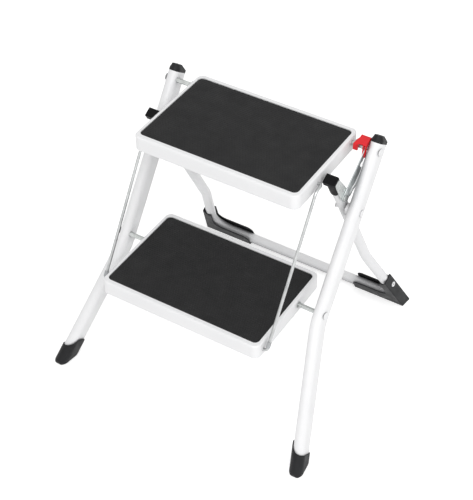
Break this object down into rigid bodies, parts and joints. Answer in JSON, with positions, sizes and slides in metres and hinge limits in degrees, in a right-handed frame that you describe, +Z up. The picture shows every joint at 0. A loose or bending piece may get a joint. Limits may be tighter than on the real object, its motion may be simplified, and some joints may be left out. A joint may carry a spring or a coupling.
{
  "type": "folding step stool",
  "caption": "Folding step stool with white tube frames, tray steps with dark mats, link wires and a red safety catch on a lock bar.",
  "frame": {"origin": "on the floor, under the middle of the opened stool's bounding box", "axes": "+Z up, +Y to the rear, +X to the user's right when facing the front"},
  "size_m": [0.4926, 0.465, 0.4571],
  "materials": {
    "white_frame": "white powder coat, satin",
    "white_step": "white coated steel, satin",
    "white_plastic": "white moulded plastic",
    "black_plastic": "black moulded plastic, fine grain",
    "grey_plastic": "light grey sleeve",
    "red_plastic": "red moulded plastic",
    "mat": "dark ribbed non-slip mat",
    "zinc": "bright zinc plate"
  },
  "bodies": {
    "front_frame": {"front_leg_left": "white_frame", "front_leg_right": "white_frame", "front_foot_left": "black_plastic", "front_foot_right": "black_plastic", "top_cap_left": "black_plastic", "top_cap_right": "black_plastic", "top_rod": "zinc", "lower_rod": "zinc", "top_rod_head_left": "white_frame", "top_rod_head_right": "white_frame", "lower_rod_head_left": "white_frame", "lower_rod_head_right": "white_frame", "pivot_rivet_left": "white_frame", "pivot_rivet_right": "white_frame", "pivot_spacer_left": "white_plastic", "pivot_spacer_right": "white_plastic"},
    "rear_frame": {"rear_frame": "white_frame", "rear_boot_left": "black_plastic", "rear_boot_right": "black_plastic", "boot_rivet_left": "white_frame", "boot_rivet_right": "white_frame", "leg_clip_left": "black_plastic", "leg_clip_right": "black_plastic", "lock_bracket": "zinc", "lock_hinge_rivet": "zinc"},
    "upper_step": {"upper_tray": "white_step", "upper_mat": "mat", "upper_bush_left": "white_plastic", "upper_bush_right": "white_plastic"},
    "lower_step": {"lower_tray": "white_step", "lower_mat": "mat", "lower_bush_left": "white_plastic", "lower_bush_right": "white_plastic"},
    "link_wires": {"link_wire_left": "zinc", "link_wire_right": "zinc", "wire_sleeve_left": "grey_plastic", "wire_sleeve_right": "grey_plastic", "wire_rings_left": "zinc", "wire_rings_right": "zinc"},
    "lock_bar": {"lock_bar": "zinc", "catch_pin": "zinc"},
    "safety_catch": {"safety_catch": "red_plastic"}
  },
  "joints": [
    {"name": "upper_step_fold", "type": "hinge", "parent": "front_frame", "child": "upper_step", "pos_m": [0, 0.0803, 0.43202], "axis": [-1, 0, 0], "range_deg": [0, 115]},
    {"name": "lower_step_fold", "type": "hinge", "parent": "front_frame", "child": "lower_step", "pos_m": [0, -0.07596, 0.21134], "axis": [-1, 0, 0], "range_deg": [0, 115]},
    {"name": "link_wire_hinge", "type": "hinge", "parent": "upper_step", "child": "link_wires", "pos_m": [0, -0.0267, 0.42502], "axis": [-1, 0, 0], "range_deg": [-115, 0]},
    {"name": "rear_frame_fold", "type": "hinge", "parent": "front_frame", "child": "rear_frame", "pos_m": [0, 0.02965, 0.34596], "axis": [-1, 0, 0], "range_deg": [0, 57.5]},
    {"name": "lock_bar_hinge", "type": "hinge", "parent": "rear_frame", "child": "lock_bar", "pos_m": [0, 0.01116, 0.3803], "axis": [-1, 0, 0], "range_deg": [-86.25, 0]},
    {"name": "safety_catch_lift", "type": "hinge", "parent": "lock_bar", "child": "safety_catch", "pos_m": [0, 0.0838, 0.44052], "axis": [-1, 0, 0], "range_deg": [0, 25]}
  ],
  "couplings": [
    {"joint": "lower_step_fold", "follows": "upper_step_fold", "ratio": 1},
    {"joint": "link_wire_hinge", "follows": "upper_step_fold", "ratio": -1},
    {"joint": "rear_frame_fold", "follows": "upper_step_fold", "ratio": 0.5},
    {"joint": "lock_bar_hinge", "follows": "upper_step_fold", "ratio": -0.75}
  ]
}
